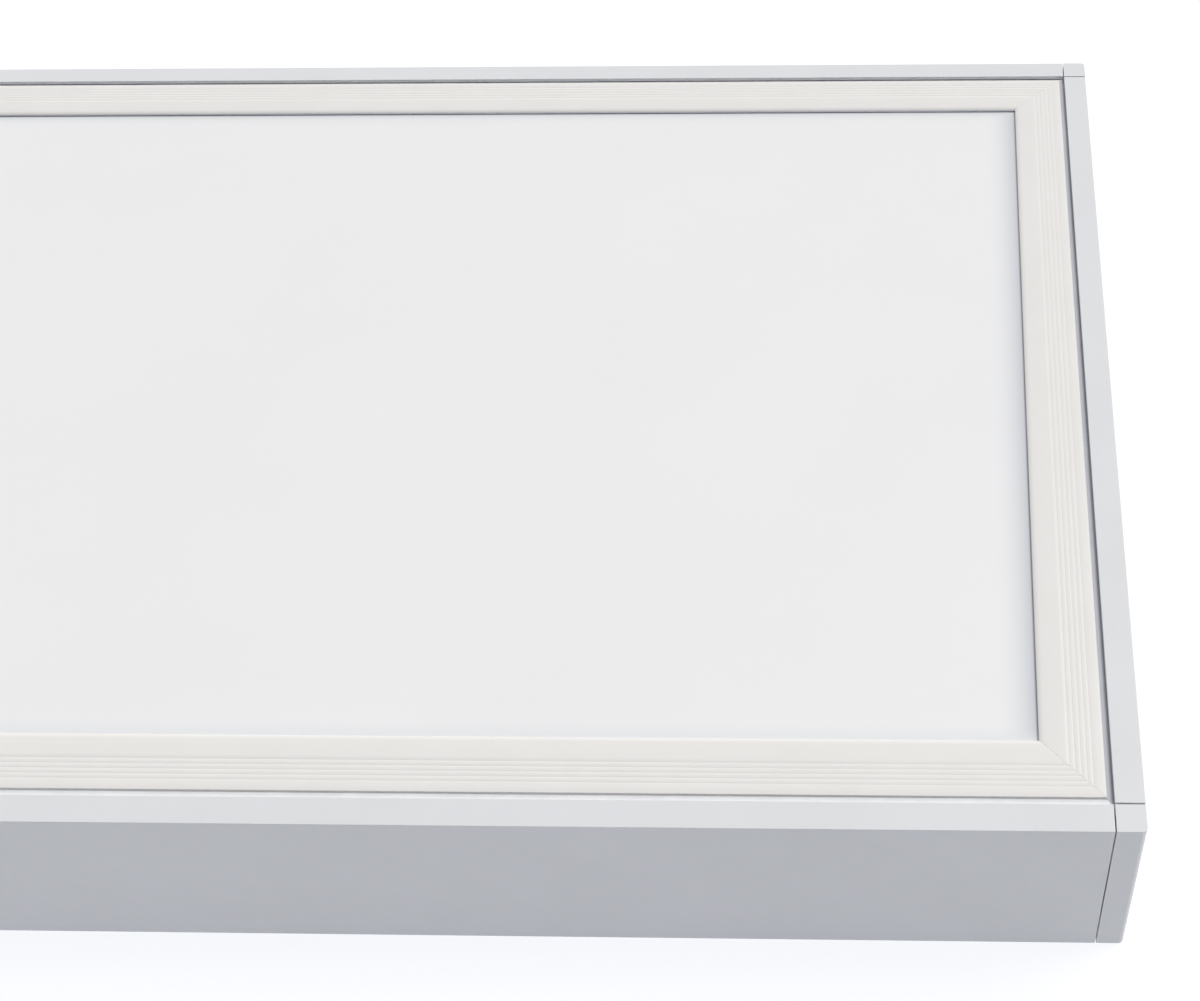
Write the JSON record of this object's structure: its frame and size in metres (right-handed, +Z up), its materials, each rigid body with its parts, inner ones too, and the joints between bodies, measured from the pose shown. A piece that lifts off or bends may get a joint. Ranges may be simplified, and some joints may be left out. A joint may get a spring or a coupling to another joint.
{
  "type": "light table",
  "caption": "Long flat light table: an edge-lit panel with a ribbed bezel and an opal diffuser, held in a white box frame with square corner posts and an open back.",
  "frame": {"origin": "middle of the base, on the plane that the frame stands on", "axes": "+X along the light, towards the end that pulls off; +Y across it; +Z up through the diffuser"},
  "size_m": [1.205, 0.305, 0.068],
  "materials": {
    "white_powder_coat": "white powder coat on extruded aluminium, satin, very fine grain",
    "bezel_white": "warm white coat on a ribbed aluminium extrusion, satin",
    "opal_acrylic": "opal diffuser sheet, smooth and matt",
    "clear_acrylic": "clear light guide sheet with a fine dot print",
    "reflector_film": "white reflective film",
    "grey_foam": "closed-cell packing foam",
    "steel_plate": "thin coated steel sheet",
    "zinc_steel": "bright zinc plated steel",
    "led_board": "white solder mask with yellow LED packages",
    "driver_plastic": "white moulded plastic, fine spark texture",
    "circuit_board": "green solder mask with block components",
    "block_grey": "grey moulded nylon",
    "lever_orange": "orange moulded nylon, semi-gloss",
    "cable_white": "white flexible sheath",
    "black_rubber": "moulded rubber"
  },
  "bodies": {
    "frame": {"front_rail": "white_powder_coat", "back_rail": "white_powder_coat", "left_rail": "white_powder_coat", "front_left_post": "white_powder_coat", "back_left_post": "white_powder_coat", "back_left_grub_screw_1": "zinc_steel", "back_left_grub_screw_2": "zinc_steel", "front_left_grub_screw_1": "zinc_steel", "front_left_grub_screw_2": "zinc_steel"},
    "end_frame": {"right_rail": "white_powder_coat", "front_right_post": "white_powder_coat", "back_right_post": "white_powder_coat", "back_right_grub_screw_1": "zinc_steel", "back_right_grub_screw_2": "zinc_steel", "front_right_grub_screw_1": "zinc_steel", "front_right_grub_screw_2": "zinc_steel"},
    "panel": {"back_bezel": "bezel_white", "back_led_strip": "led_board", "back_left_corner_key": "zinc_steel", "back_plate": "steel_plate", "back_plate_screw_1": "zinc_steel", "back_plate_screw_10": "zinc_steel", "back_plate_screw_2": "zinc_steel", "back_plate_screw_3": "zinc_steel", "back_plate_screw_4": "zinc_steel", "back_plate_screw_5": "zinc_steel", "back_plate_screw_6": "zinc_steel", "back_plate_screw_7": "zinc_steel", "back_plate_screw_8": "zinc_steel", "back_plate_screw_9": "zinc_steel", "back_right_corner_key": "zinc_steel", "diffuser": "opal_acrylic", "driver_board": "circuit_board", "driver_case": "driver_plastic", "driver_lid": "driver_plastic", "driver_screw_1": "zinc_steel", "driver_screw_2": "zinc_steel", "foam_sheet": "grey_foam", "front_bezel": "bezel_white", "front_led_strip": "led_board", "front_left_corner_key": "zinc_steel", "front_right_corner_key": "zinc_steel", "lead_grommet": "black_rubber", "left_bezel": "bezel_white", "lever_pin": "zinc_steel", "light_guide": "clear_acrylic", "panel_lead": "cable_white", "reflector": "reflector_film", "right_bezel": "bezel_white", "terminal_block": "block_grey"},
    "lever_1": {"clamp_lever_1": "lever_orange"},
    "lever_2": {"clamp_lever_2": "lever_orange"},
    "lever_3": {"clamp_lever_3": "lever_orange"}
  },
  "joints": [
    {"name": "panel_slide", "type": "slide", "parent": "frame", "child": "panel", "axis": [1, 0, 0], "range_m": [0, 1.2]},
    {"name": "end_frame_slide", "type": "slide", "parent": "frame", "child": "end_frame", "axis": [1, 0, 0], "range_m": [0, 1.26]},
    {"name": "clamp_lever_1_hinge", "type": "hinge", "parent": "panel", "child": "lever_1", "pos_m": [-0.0893, -0.006, 0.0446], "axis": [0, -1, 0], "range_deg": [0, 85]},
    {"name": "clamp_lever_2_hinge", "type": "hinge", "parent": "panel", "child": "lever_2", "pos_m": [-0.0893, 0, 0.0446], "axis": [0, -1, 0], "range_deg": [0, 85]},
    {"name": "clamp_lever_3_hinge", "type": "hinge", "parent": "panel", "child": "lever_3", "pos_m": [-0.0893, 0.006, 0.0446], "axis": [0, -1, 0], "range_deg": [0, 85]}
  ],
  "couplings": [
    {"joint": "end_frame_slide", "follows": "panel_slide", "ratio": 1.05}
  ]
}
